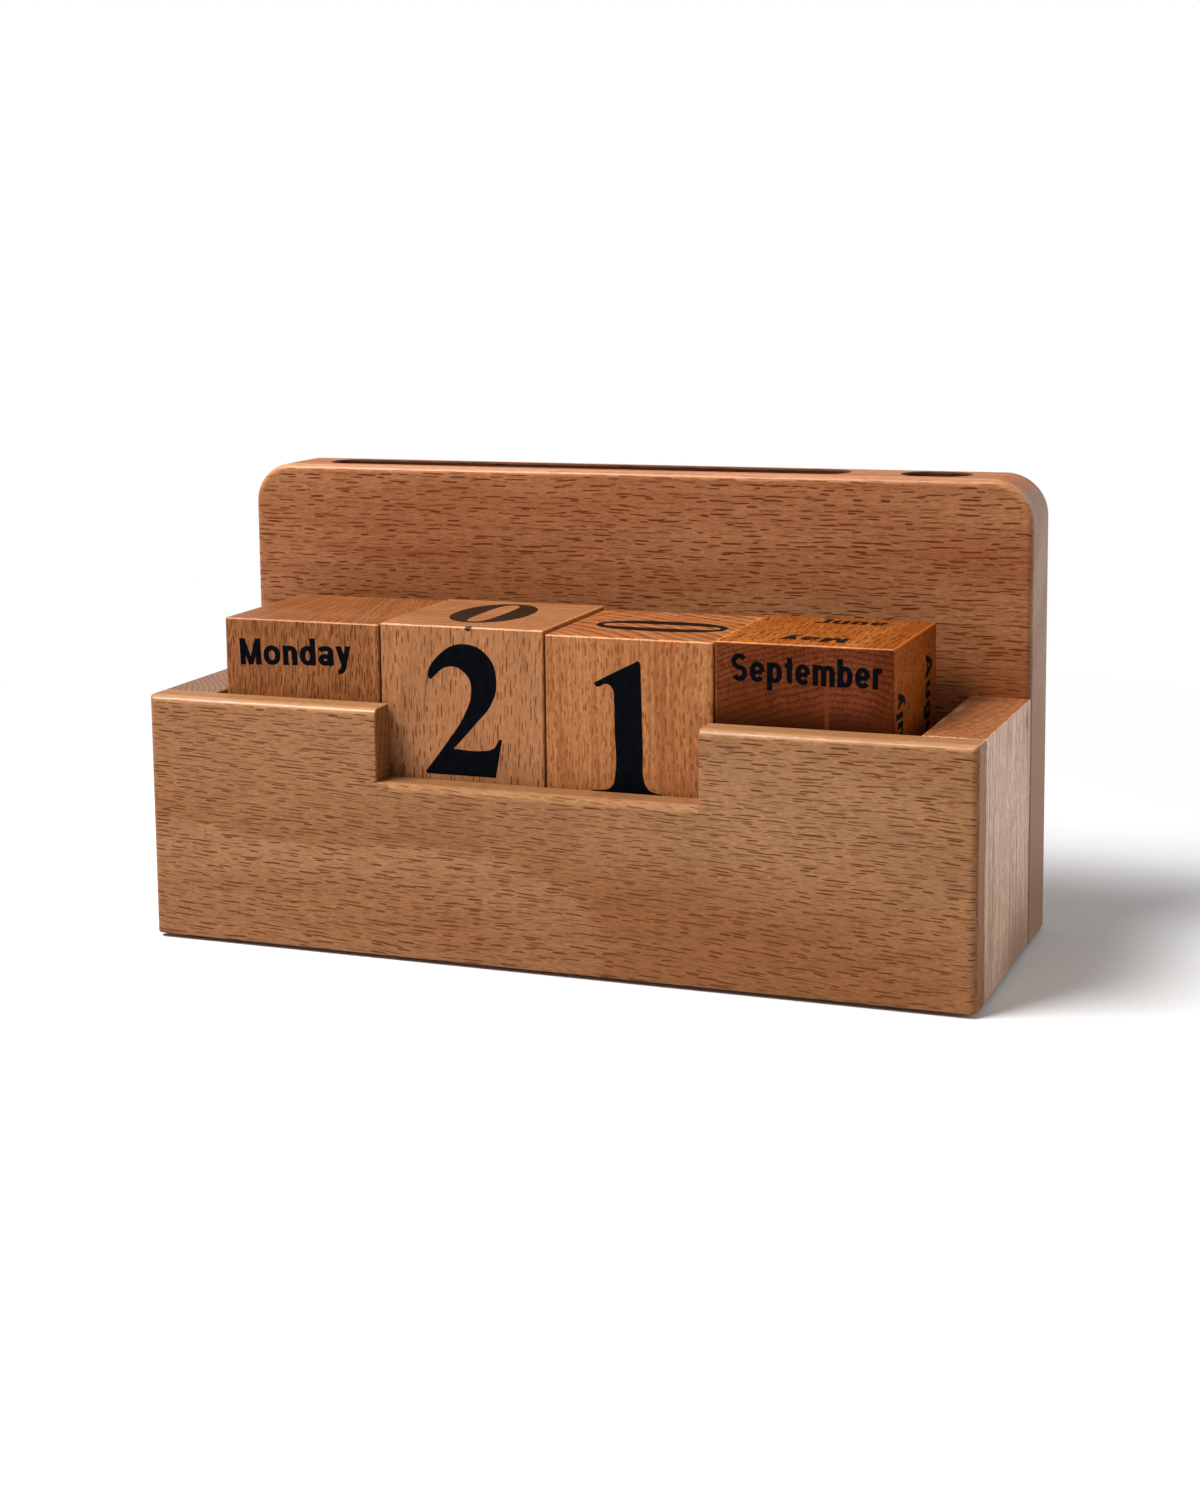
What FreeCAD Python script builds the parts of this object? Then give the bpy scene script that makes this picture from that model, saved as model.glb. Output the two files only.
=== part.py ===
import FreeCAD, Part
import math
import os

# Beech block calendar with a shallow drawer below its cubes. Millimetres, +Z up.
# X runs left to right, Y from the front board's face to the back, Z up from the table.
# The origin is on the table, in the middle of the object's width and depth.

V = FreeCAD.Vector

# ---- overall sizes ----
width = 200.0                 # the whole calendar, end to end
pad_height = 1.0              # felt pads: the wood starts this far above the table
tray_height = 58.5            # front board and end blocks, above the pads
rear_height = 109.0           # rear block, above the pads
front_thickness = 7.8         # notched board
rear_face = 57.5              # from the board's face to the rear block's face
rear_thickness = 20.2
end_thickness = 14.2          # end blocks, left and right
front_gap = 0.3               # board to carcass: it slides away, so it does not rub

# ---- notch in the front board ----
notch_left = -40.1
notch_right = 38.1
lip_height = 41.2             # notch floor, above the pads
top_round = 1.8               # round-over along the board's top front edges
lip_round_start = 3.0         # the cutter stops this far short of the notch's left wall
end_break = 0.5               # softened edges at the board's ends

# ---- rear block ----
corner_radius = 10.0
rear_break = 1.0              # round-over round the faces
slot_width = 11.0             # both slots are cut by the same tool
slot_setback = 5.2            # rear block's face to the slots' near side
card_slot_left = -82.3
card_slot_right = 54.1
card_slot_depth = 32.0
pen_slot_left = 67.0
pen_slot_right = 83.4
pen_slot_depth = 45.0
slot_break = 0.5

# ---- deck and bottom ----
deck_thickness = 6.0
deck_top = 36.4               # the cubes' floor, above the pads
panel_thickness = 4.0
panel_underside = 2.0         # above the pads
housing = 3.0                 # depth of the grooves that hold both

# ---- cubes: side of each, from left to right ----
cube_sides = {"weekday_cube": 40.4, "tens_cube": 40.8, "units_cube": 40.0, "month_cube": 40.4}
cube_row_left = -83.2
cube_gap = 0.45
cube_front = 8.6
cube_break = 0.4

# ---- drawer ----
drawer_clearance = 0.5        # beside the end blocks and under the deck
drawer_rise = 0.3             # above the bottom panel
drawer_rear_gap = 1.5
drawer_wall = 6.0
drawer_back_thickness = 6.0
drawer_floor_thickness = 3.0
drawer_floor_rise = 2.0       # underside of the floor above the drawer's lower edge
drawer_back_drop = 1.0        # the back is this much lower than the sides
drawer_travel = 36.0

# ---- pegs and pads ----
rear_dowel_d = 6.0
rear_dowel_length = 30.0
rear_dowel_heights = (16.0, 47.0)
rear_dowel_in_block = 12.0
drawer_dowel_d = 3.0
drawer_dowel_length = 16.0
drawer_dowel_in_front = 4.5
drawer_dowel_rises = (9.0, 18.0)      # above the drawer's lower edge
stop_pin_d = 4.0
stop_pin_drop = 4.0           # below the deck
stop_pin_x = 50.0
stop_gap = 0.3                # left between pin and drawer back when fully open
pad_d = 10.0
pad_inset_y = 16.0

# ---- worked out ----
half = width / 2.0
total_depth = rear_face + rear_thickness
mid_y = total_depth / 2.0
tray_top = pad_height + tray_height
rear_top = pad_height + rear_height
carcass_front = front_thickness + front_gap
inner_half = half - end_thickness
deck_z1 = pad_height + deck_top
deck_z0 = deck_z1 - deck_thickness
panel_z0 = pad_height + panel_underside
panel_z1 = panel_z0 + panel_thickness
slot_y = rear_face + slot_setback + slot_width / 2.0
drawer_half = inner_half - drawer_clearance
drawer_z0 = panel_z1 + drawer_rise
drawer_z1 = deck_z0 - drawer_clearance
drawer_rear = rear_face - drawer_rear_gap
drawer_back_y0 = drawer_rear - drawer_back_thickness
floor_z0 = drawer_z0 + drawer_floor_rise
floor_z1 = floor_z0 + drawer_floor_thickness
floor_housing = drawer_wall / 2.0
end_middle_x = half - end_thickness / 2.0
drawer_wall_x = drawer_half - drawer_wall / 2.0


def block(x0, x1, y0, y1, z0, z1):
    return Part.makeBox(x1 - x0, y1 - y0, z1 - z0, V(x0, y0, z0))


def peg(d, length, x, y, z, axis):
    return Part.makeCylinder(d / 2.0, length, V(x, y, z), axis)


def panel_housing(z0, z1):
    # the room a panel takes: into both end blocks and the rear block
    reach = inner_half + housing
    return block(-reach, reach, carcass_front, rear_face + housing, z0, z1)


def deck_blank():
    return panel_housing(deck_z0, deck_z1)


def bottom_blank():
    return panel_housing(panel_z0, panel_z1)


def rear_dowels(side):
    x = side * end_middle_x
    y = rear_face + rear_dowel_in_block - rear_dowel_length
    rods = [peg(rear_dowel_d, rear_dowel_length, x, y, pad_height + h, V(0, 1, 0)) for h in rear_dowel_heights]
    return Part.makeCompound(rods)


def drawer_dowels(side):
    x = side * drawer_wall_x
    y = front_thickness - drawer_dowel_in_front
    rods = [peg(drawer_dowel_d, drawer_dowel_length, x, y, drawer_z0 + r, V(0, 1, 0)) for r in drawer_dowel_rises]
    return Part.makeCompound(rods)


def stop_pins():
    y = drawer_back_y0 - drawer_travel - stop_gap - stop_pin_d / 2.0
    z = deck_z0 - stop_pin_drop
    length = stop_pin_drop + deck_thickness
    return Part.makeCompound([peg(stop_pin_d, length, s * stop_pin_x, y, z, V(0, 0, 1)) for s in (-1, 1)])


def drawer_floor():
    reach = drawer_half - floor_housing
    y0 = front_thickness - floor_housing
    y1 = drawer_back_y0 + floor_housing
    return block(-reach, reach, y0, y1, floor_z0, floor_z1)


def round_slot(x0, x1, y, depth, edge):
    # a slot with round ends, open at the rear block's top, with its rim softened
    r = slot_width / 2.0
    z0 = rear_top - depth
    tool = block(x0 + r, x1 - r, y - r, y + r, z0, rear_top)
    rim = block(x0 + r, x1 - r, y - r, y + r, rear_top - edge, rear_top)
    for x in (x0 + r, x1 - r):
        tool = tool.fuse(Part.makeCylinder(r, depth, V(x, y, z0)))
        rim = rim.fuse(Part.makeCone(r, r + edge, edge, V(x, y, rear_top - edge)))
    wedge = Part.makePolygon([
        V(x0 + r, y - r, rear_top - edge), V(x0 + r, y + r, rear_top - edge),
        V(x0 + r, y + r + edge, rear_top), V(x0 + r, y - r - edge, rear_top),
        V(x0 + r, y - r, rear_top - edge)])
    rim = rim.fuse(Part.Face(wedge).extrude(V(x1 - x0 - 2 * r, 0, 0)))
    return tool.fuse(rim).removeSplitter()


def rear_block():
    r = corner_radius
    bend = r * math.sqrt(0.5)
    y = rear_face
    outline = Part.Wire([
        Part.LineSegment(V(-half, y, pad_height), V(half, y, pad_height)).toShape(),
        Part.LineSegment(V(half, y, pad_height), V(half, y, rear_top - r)).toShape(),
        Part.Arc(V(half, y, rear_top - r), V(half - r + bend, y, rear_top - r + bend),
                 V(half - r, y, rear_top)).toShape(),
        Part.LineSegment(V(half - r, y, rear_top), V(-half + r, y, rear_top)).toShape(),
        Part.Arc(V(-half + r, y, rear_top), V(-half + r - bend, y, rear_top - r + bend),
                 V(-half, y, rear_top - r)).toShape(),
        Part.LineSegment(V(-half, y, rear_top - r), V(-half, y, pad_height)).toShape()])
    body = Part.Face(outline).extrude(V(0, rear_thickness, 0))
    soft = []
    for edge in body.Edges:
        box = edge.BoundBox
        if box.YLength < 0.01 and box.ZMax > pad_height + 0.01:
            soft.append(edge)
    body = body.makeFillet(rear_break, soft)
    body = body.cut(round_slot(card_slot_left, card_slot_right, slot_y, card_slot_depth, slot_break))
    body = body.cut(round_slot(pen_slot_left, pen_slot_right, slot_y, pen_slot_depth, slot_break))
    for part in (deck_blank(), bottom_blank(), rear_dowels(-1), rear_dowels(1)):
        body = body.cut(part)
    return body


def side_block(side):
    x0, x1 = sorted((side * half, side * inner_half))
    body = block(x0, x1, carcass_front, rear_face, pad_height, tray_top)
    for part in (deck_blank(), bottom_blank(), rear_dowels(side)):
        body = body.cut(part)
    return body


def calendar_deck():
    return deck_blank().cut(stop_pins())


def round_over(x0, x1, z):
    # what the cutter takes off a top front edge at y = 0
    r = top_round
    corner = block(x0, x1, 0, r, z - r, z)
    return corner.cut(Part.makeCylinder(r, x1 - x0, V(x0, r, z - r), V(1, 0, 0)))


def drawer_front():
    lip = pad_height + lip_height
    body = block(-half, half, 0, front_thickness, pad_height, tray_top)
    ends = [e for e in body.Edges if e.BoundBox.ZLength > 1 and e.BoundBox.YMax < 0.01]
    body = body.makeFillet(end_break, ends)
    body = body.cut(block(notch_left, notch_right, 0, front_thickness, lip, tray_top))
    body = body.cut(round_over(-half, notch_left, tray_top))
    body = body.cut(round_over(notch_right, half, tray_top))
    body = body.cut(round_over(notch_left + lip_round_start, notch_right, lip))
    for part in (drawer_floor(), drawer_dowels(-1), drawer_dowels(1)):
        body = body.cut(part)
    return body


def drawer_side(side):
    x0, x1 = sorted((side * drawer_half, side * (drawer_half - drawer_wall)))
    body = block(x0, x1, front_thickness, drawer_rear, drawer_z0, drawer_z1)
    return body.cut(drawer_floor()).cut(drawer_dowels(side))


def drawer_back():
    reach = drawer_half - drawer_wall
    body = block(-reach, reach, drawer_back_y0, drawer_rear, drawer_z0, drawer_z1 - drawer_back_drop)
    return body.cut(drawer_floor())


def felt_pads():
    pads = []
    for s in (-1, 1):
        for y in (carcass_front + pad_inset_y, rear_face + rear_thickness / 2.0):
            pads.append(Part.makeCylinder(pad_d / 2.0, pad_height, V(s * end_middle_x, y, 0)))
    return Part.makeCompound(pads)


def cube(side, x):
    body = Part.makeBox(side, side, side, V(x, cube_front, deck_z1))
    return body.makeFillet(cube_break, body.Edges)


parts = {
    "rear_block": rear_block(),
    "side_block_left": side_block(-1),
    "side_block_right": side_block(1),
    "calendar_deck": calendar_deck(),
    "bottom_panel": bottom_blank(),
    "rear_dowels_left": rear_dowels(-1),
    "rear_dowels_right": rear_dowels(1),
    "stop_pins": stop_pins(),
    "felt_pads": felt_pads(),
    "drawer_front": drawer_front(),
    "drawer_side_left": drawer_side(-1),
    "drawer_side_right": drawer_side(1),
    "drawer_back": drawer_back(),
    "drawer_bottom": drawer_floor(),
    "drawer_dowels_left": drawer_dowels(-1),
    "drawer_dowels_right": drawer_dowels(1),
}

cube_x = cube_row_left
for name, side in cube_sides.items():
    parts[name] = cube(side, cube_x)
    cube_x += side + cube_gap

os.makedirs("parts", exist_ok=True)
for name, shape in parts.items():
    shape = shape.copy()
    shape.translate(V(0, -mid_y, 0))
    shape.exportStep("parts/" + name + ".step")
    box = shape.BoundBox
    print(name, "solids", len(shape.Solids), "valid", shape.isValid(), "volume %.1f" % shape.Volume,
          "x %.1f..%.1f y %.1f..%.1f z %.1f..%.1f" % (box.XMin, box.XMax, box.YMin, box.YMax, box.ZMin, box.ZMax))
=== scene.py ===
import math
from contextlib import contextmanager

import bmesh
import bpy
from mathutils import Matrix, Vector


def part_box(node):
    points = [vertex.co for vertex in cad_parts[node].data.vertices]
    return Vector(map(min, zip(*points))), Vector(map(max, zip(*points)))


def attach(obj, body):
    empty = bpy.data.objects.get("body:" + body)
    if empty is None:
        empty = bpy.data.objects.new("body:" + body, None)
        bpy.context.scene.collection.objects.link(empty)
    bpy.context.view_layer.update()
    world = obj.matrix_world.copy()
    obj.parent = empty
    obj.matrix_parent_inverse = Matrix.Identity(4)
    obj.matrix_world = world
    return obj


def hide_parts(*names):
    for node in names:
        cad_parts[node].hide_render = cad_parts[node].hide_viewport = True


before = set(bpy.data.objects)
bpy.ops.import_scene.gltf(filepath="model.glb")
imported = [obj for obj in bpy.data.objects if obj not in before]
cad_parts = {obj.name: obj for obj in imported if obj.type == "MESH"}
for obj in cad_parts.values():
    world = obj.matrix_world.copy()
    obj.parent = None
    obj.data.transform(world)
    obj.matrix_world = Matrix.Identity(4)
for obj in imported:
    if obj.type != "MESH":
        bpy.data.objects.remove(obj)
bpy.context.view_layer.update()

# Beech block calendar: every length below is in millimetres unless a note says otherwise.
mm = 0.001
scene = bpy.context.scene
print("frame loaded,", len(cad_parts), "nodes")


# camera

cameraValues = {
    "place": (208.6, -560.6, 168.2),
    "azimuth": 22.27,                    # degrees, from straight in front towards the right
    "elevation": 7.98,
    "roll": -0.874,
    "focalPixels": 2543.4,
    "middlePixels": (513.3, 587.5),      # where the lens axis meets the image
    "imagePixels": (1200, 1500),
}


def makeCamera(values):
    azimuth, elevation, roll = (math.radians(values[k]) for k in ("azimuth", "elevation", "roll"))
    forward = Vector((-math.sin(azimuth) * math.cos(elevation),
                      math.cos(azimuth) * math.cos(elevation), -math.sin(elevation)))
    right = forward.cross(Vector((0, 0, 1))).normalized()
    up = right.cross(forward)
    leanRight = right * math.cos(roll) + up * math.sin(roll)
    leanUp = up * math.cos(roll) - right * math.sin(roll)
    wide, tall = values["imagePixels"]
    middleX, middleY = values["middlePixels"]
    data = bpy.data.cameras.new("camera")
    data.lens = values["focalPixels"] / tall * data.sensor_width
    data.shift_x = (wide / 2 - middleX) / tall
    data.shift_y = (middleY - tall / 2) / tall
    data.clip_start = 0.01
    data.clip_end = 50
    camera = bpy.data.objects.new("camera", data)
    turn = Matrix((leanRight, leanUp, -forward)).transposed().to_4x4()
    camera.matrix_world = Matrix.Translation(Vector(values["place"]) * mm) @ turn
    scene.collection.objects.link(camera)
    scene.camera = camera


makeCamera(cameraValues)
print("camera placed")


# node maths

class Flow:
    # one socket of a node tree; sums written with it add their own Math nodes
    def __init__(self, graph, socket):
        self.graph = graph
        self.socket = socket

    def out(self, name):
        return Flow(self.graph, self.socket.node.outputs[name])


for sign, operation in (("add", "ADD"), ("sub", "SUBTRACT"), ("mul", "MULTIPLY"), ("truediv", "DIVIDE"),
                        ("pow", "POWER")):
    setattr(Flow, f"__{sign}__", lambda one, other, does=operation: one.graph.math(does, one, other))
    setattr(Flow, f"__r{sign}__", lambda one, other, does=operation: one.graph.math(does, other, one))


class Graph:
    # the node tree of a material, a world or a geometry group, and the one method that makes its nodes
    def __init__(self, owner):
        self.owner = owner
        self.tree = owner
        if not isinstance(owner, bpy.types.NodeTree):
            owner.use_nodes = True
            self.tree = owner.node_tree
        self.tree.nodes.clear()

    def node(self, kind, settings=None, values=None, out=0):
        made = self.tree.nodes.new(kind)
        for key, value in (settings or {}).items():
            if key == "stops":
                self.setStops(made.color_ramp, value)
            else:
                setattr(made, key, value)
        for key, value in (values or {}).items():
            if isinstance(value, Flow):
                self.tree.links.new(value.socket, made.inputs[key])
            else:
                made.inputs[key].default_value = value
        return Flow(self, made.outputs[out]) if len(made.outputs) else made

    def setStops(self, ramp, stops):
        while len(ramp.elements) < len(stops):
            ramp.elements.new(1.0)
        for element, (place, colour) in zip(ramp.elements, stops):
            element.position = place
            element.color = colour

    def math(self, operation, *values):
        return self.node("ShaderNodeMath", {"operation": operation}, dict(enumerate(values)))

    def vectorMath(self, operation, *values, out=0):
        return self.node("ShaderNodeVectorMath", {"operation": operation}, dict(enumerate(values)), out)

    def vector(self, x, y, z):
        return self.node("ShaderNodeCombineXYZ", None, {"X": x, "Y": y, "Z": z})

    def split(self, value, kind="XYZ"):
        first = self.node("ShaderNodeSeparate" + kind, None, {0: value})
        return [Flow(self, socket) for socket in first.socket.node.outputs]

    def cells(self, place, sizes):
        # a place counted in cells of these sizes
        return self.vector(*(at / size for at, size in zip(place, sizes)))

    def coordinate(self, kind):
        return self.node("ShaderNodeTexCoord", None, None, kind)

    def attribute(self, name):
        return self.node("ShaderNodeAttribute", {"attribute_name": name}, None, "Fac")

    def noise(self, vector, detail=2.0, roughness=0.5, colour=False, scale=1.0):
        settings = {"noise_dimensions": "3D"}
        values = {"Vector": vector, "Scale": scale, "Detail": detail, "Roughness": roughness}
        return self.node("ShaderNodeTexNoise", settings, values, "Color" if colour else "Fac")

    def ease(self, value, low, high, toLow=0.0, toHigh=1.0):
        values = {"Value": value, "From Min": low, "From Max": high, "To Min": toLow, "To Max": toHigh}
        return self.node("ShaderNodeMapRange", {"interpolation_type": "SMOOTHSTEP"}, values)

    def mix(self, share, first, second, blend="MIX"):
        settings = {"data_type": "RGBA", "blend_type": blend, "clamp_factor": True}
        return self.node("ShaderNodeMix", settings, {0: share, 6: first, 7: second}, 2)

    def finish(self, surface, kind="Material"):
        self.node("ShaderNodeOutput" + kind, None, {"Surface": surface})
        return self.owner

    def finishSkin(self, shade, rough, sheen, height, bump, depth, coat=None):
        # depth is the relief's, in millimetres
        relief = {"Strength": bump, "Distance": depth * mm, "Height": height}
        values = {"Base Color": shade, "Roughness": rough, "Specular IOR Level": sheen,
                  "Normal": self.node("ShaderNodeBump", None, relief), **(coat or {})}
        return self.finish(self.node("ShaderNodeBsdfPrincipled", None, values))


def newGraph(name):
    return Graph(bpy.data.materials.new(name))


def colour(red, green, blue):
    return (red, green, blue, 1.0)


# beech

beechValues = {
    "along": (1, 0, 0),          # the way the grain runs
    "outward": (0, -1, 0),       # from the tree's middle towards the bark
    "pith": 80.0,                # from the tree's middle to the piece's middle
    "seedStep": 137.0,           # how far along the trunk one seed's piece is from the next
    "taper": 0.05,               # how fast the rings widen along the length
    "pale": (0.325, 0.155, 0.066),
    "deep": (0.243, 0.089, 0.027),
    "ray": (0.107, 0.025, 0.001),
    "end": (0.90, 0.74, 0.55),   # what end grain makes of the colour
    "endRay": (0.42, 0.20, 0.10),
    "endRayTone": 0.3,
    "endRing": 0.12,
    "endLate": 0.12,             # how dark the rings' outer edges are on end grain
    "ringGap": 2.6,
    "ringUneven": 1.6,           # in rings, over the next distance
    "ringUnevenSize": 7.0,
    "ringLate": (0.35, 0.93),    # the share of a ring over which it darkens
    "ringTone": 0.08,
    "ringWander": 9.0,
    "ringRipple": 0.6,
    "grainWander": 5.0,
    "waverShift": 0.9,
    # the sizes of each pattern's cells, across, beside and along the grain
    "driftSize": (34, 34, 80),
    "waverSize": (6, 3, 12),
    "figureSize": (9, 26, 90),
    "fibreSize": (0.45, 0.32, 2.2),
    "fineRaySize": (14, 0.28, 3),
    "figure": 0.6,               # how much the broad figure shows
    "streak": 0.35,
    "streakDepth": 2.0,
    "streakGap": 1.1,
    "streakLength": 40.0,
    "contrast": (0.34, 0.66),    # where figure and streaks turn from pale to deep
    "fibre": 0.56,
    "rayLength": 6.4,            # a ray's dash on a flat-sawn face
    "rayWidth": 0.35,
    "rayRow": 0.76,              # one dash to a cell of this by the pitch
    "rayPitch": 6.4,
    "rayDepth": 12.0,
    "rayKept": (0.26, 0.38),     # dashes whose chance is below this are left out
    "fleckShare": (0.55, 0.4, 0.55, 0.36),      # the small dashes' row, pitch, width and length beside those
    "fleckShift": 31.0,
    "rayTone": 1.0,              # how far the dashes take the ray's colour
    "fleckTone": 0.3,            # the same for the small dashes between
    "quarterRay": 0.25,          # how much of both shows where a face runs along the ray
    "swirl": None,               # rings bent round a swelling, for a board that shows it
    "patches": (),               # middle along and beside the grain, half sizes, how much deeper
    "marks": (),                 # place, half sizes, colour, softness
    "paintedEdgeHighlight": 1.0,             # how much paler the upward roundings are: a painted highlight
    "paintedHighlightTint": (1.0, 1.15, 1.1),    # the colour of that painted highlight
    "edgeCoat": 0.45,
    "routed": (0.22, 0.13, 0.09),    # painted shade on a slot's walls
    "rough": 0.42,
    "coatRough": 0.3,
    "sheen": 0.2,                # Specular IOR Level
    "bump": 0.5,
    "bumpDepth": 0.05,
    "seed": 0.0,
}


dashValues = {
    "scatter": 0.82,                 # how far a dash strays in its cell
    "span": (0.35, 0.8), "thick": (0.75, 0.45),     # the least share of the full size, and the most added
    "soft": (0.6, 1.0),              # where a dash fades, from its middle to its rim
    "faintest": 0.45,
}


def dashes(g, around, length, row, pitch, width, span):
    # scattered lenses, one to a cell
    cell = g.vector(around / row, length / pitch, 0.0)
    nearest = g.node("ShaderNodeTexVoronoi", {"voronoi_dimensions": "2D", "feature": "F1"},
                     {"Vector": cell, "Scale": 1.0, "Randomness": dashValues["scatter"]}, "Position")
    acrossAway, alongAway, _ = g.split(g.vectorMath("SUBTRACT", cell, nearest))
    red, green, blue = g.split(nearest.out("Color"), "Color")
    reach, thick = (least + added * chance for (least, added), chance in (
        (dashValues["span"], red), (dashValues["thick"], green)))
    acrossShare = acrossAway * (2 * row / width) / thick
    alongShare = alongAway * (2 * pitch / span) / reach
    ends = alongShare * alongShare
    lens = (ends * ends + acrossShare * acrossShare) ** 0.5
    return g.ease(lens, *dashValues["soft"], 1.0, 0.0) * g.ease(blue, 0.0, 0.7, dashValues["faintest"], 1.0)


def makeBeech(name, low, high, **changes):
    v = {**beechValues, **changes}
    g = newGraph(name)
    along = Vector(v["along"]).normalized()
    outward = Vector(v["outward"])
    outward = (outward - along * outward.dot(along)).normalized()
    turn = Matrix((outward, along.cross(outward), along))
    middle = (low + high) / 2 / mm
    trunkPlace = v["seed"] * v["seedStep"]
    objectPlace = g.coordinate("Object")
    across, beside, length = g.split(g.node("ShaderNodeMapping", {"vector_type": "POINT"}, {
        "Vector": objectPlace, "Location": Vector((v["pith"], 0, trunkPlace)) - turn @ middle,
        "Rotation": turn.to_euler("XYZ"), "Scale": (1 / mm,) * 3}))

    # slow wander of the rings and of the grain's line
    drift = g.noise(g.cells((across, beside, length), v["driftSize"]), 1.5, colour=True)
    ringDrift, grainDrift, _ = g.split(drift, "Color")
    radius = (across * across + beside * beside) ** 0.5 + (ringDrift - 0.5) * v["ringWander"]
    radius = radius + length * v["taper"]
    around = g.math("ARCTAN2", beside, across) * v["pith"] + (grainDrift - 0.5) * v["grainWander"]
    # a finer waver, so that no two dashes lie quite in line
    waver = g.noise(g.cells((radius, around, length), v["waverSize"]), 1.0) - 0.5
    around = around + waver * v["waverShift"]
    radius = radius + waver * v["ringRipple"]
    place = (radius, around, length)
    spot = length - trunkPlace

    # growth rings: each darkens towards its outer edge
    uneven = g.noise(g.vector(radius / v["ringUnevenSize"], 0.5, 0.5), 0.0) * v["ringUneven"]
    ringShare = g.math("FRACT", radius / v["ringGap"] + uneven)
    late = g.ease(ringShare, *v["ringLate"]) * g.ease(ringShare, v["ringLate"][1], 1.0, 1.0, 0.0)
    early = g.ease(ringShare, 0.0, 0.12, 1.0, 0.0) * g.ease(ringShare, 0.0, 0.02)

    # broad figure, streaks and fine fibres
    figure = g.noise(g.cells(place, v["figureSize"]))
    streak = g.noise(g.cells(place, (v["streakDepth"], v["streakGap"], v["streakLength"])))
    fibre = g.noise(g.cells(place, v["fibreSize"]), 2.0, 0.7)

    # rays: thin upright lenses that show as short dashes on a flat-sawn face
    chance = g.noise(g.cells(place, (v["rayDepth"], v["rayRow"], v["rayPitch"])), 0.0)
    sizes = [v[name] for name in ("rayRow", "rayPitch", "rayWidth", "rayLength")]
    ray = dashes(g, around, length, *sizes) * g.ease(chance, *v["rayKept"])
    small = [size * share for size, share in zip(sizes, v["fleckShare"])]
    fleck = dashes(g, around + v["fleckShift"], length, *small)
    bark = g.vectorMath("DOT_PRODUCT", g.coordinate("Normal"), outward, out="Value")
    edge = g.attribute("edge")
    flat = g.ease(bark * bark, 0.03, 0.4, v["quarterRay"], 1.0) * (1 - edge * 0.7)
    # fine rays, for end grain
    fineRay = g.ease(g.noise(g.cells(place, v["fineRaySize"]), 1.0), 0.55, 0.75)

    # end grain drinks the lacquer and turns darker
    facing = g.vectorMath("DOT_PRODUCT", g.coordinate("Normal"), along, out="Value")
    endGrain = g.ease(facing * facing, 0.35, 0.85)

    tone = g.ease(figure * v["figure"] + streak * v["streak"], *v["contrast"])
    if v["swirl"]:
        swirl = v["swirl"]
        one, other = (g.math("ABSOLUTE", (at - centre) / half) ** 3
                      for at, centre, half in zip((spot, beside), swirl["middle"], swirl["half"]))
        outwards = (one + other) ** (1 / 3) + (ringDrift - 0.5) * 0.3 + (streak - 0.5) * 0.22
        tones = g.node("ShaderNodeValToRGB", {"stops": [(e / 3, colour(t, t, t)) for e, t in swirl["tones"]]},
                       {"Fac": outwards / 3})
        tone = tone * (1 - swirl["share"]) + tones * swirl["share"]
    for alongAt, besideAt, alongHalf, besideHalf, deeper in v["patches"]:
        one, other = (spot - alongAt) / alongHalf, (beside - besideAt) / besideHalf
        away = (one * one + other * other) ** 0.5 + (figure - 0.5) * 0.9
        tone = tone + g.ease(away, 0.2, 1.3, 1.0, 0.0) * deeper
    shade = g.mix(tone, colour(*v["pale"]), colour(*v["deep"]))
    dim = (1 - late * v["ringTone"]) * (1 - (fibre - 0.5) * (v["fibre"] * 2))
    shade = g.mix(1.0, shade, g.vector(dim, dim, dim), "MULTIPLY")
    ended = g.mix(1.0, shade, colour(*v["end"]), "MULTIPLY")
    ended = g.mix(late * v["endLate"], ended, colour(0.0, 0.0, 0.0))
    ended = g.mix(fineRay * v["endRayTone"] + early * v["endRing"] + ray * v["endRayTone"],
                  ended, colour(*v["endRay"]))
    shade = g.mix(ray * flat * v["rayTone"], shade, colour(*v["ray"]))
    shade = g.mix(fleck * flat * v["fleckTone"], shade, colour(*v["ray"]))
    shade = g.mix(endGrain, shade, ended)
    for at, halves, tint, softness in v["marks"]:
        apart = g.vectorMath("SUBTRACT", objectPlace, Vector(at) * mm)
        away = g.vectorMath("LENGTH", g.vectorMath("DIVIDE", apart, Vector(halves) * mm), out="Value")
        away = away + (fibre - 0.5) * 0.5
        shade = g.mix(g.ease(away, 1 - softness, 1 + softness, 1.0, 0.0), shade, colour(*tint))
    # painted highlight: roundings and tops that look up are paler; painted shade darkens a slot's walls
    paintedHighlight = edge * v["paintedEdgeHighlight"] * (0.5 + fibre)
    shade = g.mix(1.0, shade, g.vector(*(1 + paintedHighlight * share for share in v["paintedHighlightTint"])), "MULTIPLY")
    shade = g.mix(g.attribute("routed"), shade, g.mix(1.0, shade, colour(*v["routed"]), "MULTIPLY"))

    height = fibre * 0.6 - ray * (1 - endGrain) * 0.7
    rough = v["rough"] + (fibre - 0.5) * 0.16 + endGrain * 0.06 + ray * 0.08 + edge * (1 - edge)
    coat = {"Coat Weight": g.ease(edge, 0.55, 0.95) * v["edgeCoat"], "Coat Roughness": v["coatRough"]}
    return g.finishSkin(shade, rough, v["sheen"], height, v["bump"], v["bumpDepth"], coat)


# mesh helpers

def addObject(name, mesh):
    made = bpy.data.objects.new(name, mesh)
    scene.collection.objects.link(made)
    return made


def objectFrom(name, bm):
    bmesh.ops.recalc_face_normals(bm, faces=bm.faces)
    mesh = bpy.data.meshes.new(name)
    bm.to_mesh(mesh)
    bm.free()
    return addObject(name, mesh)


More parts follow.
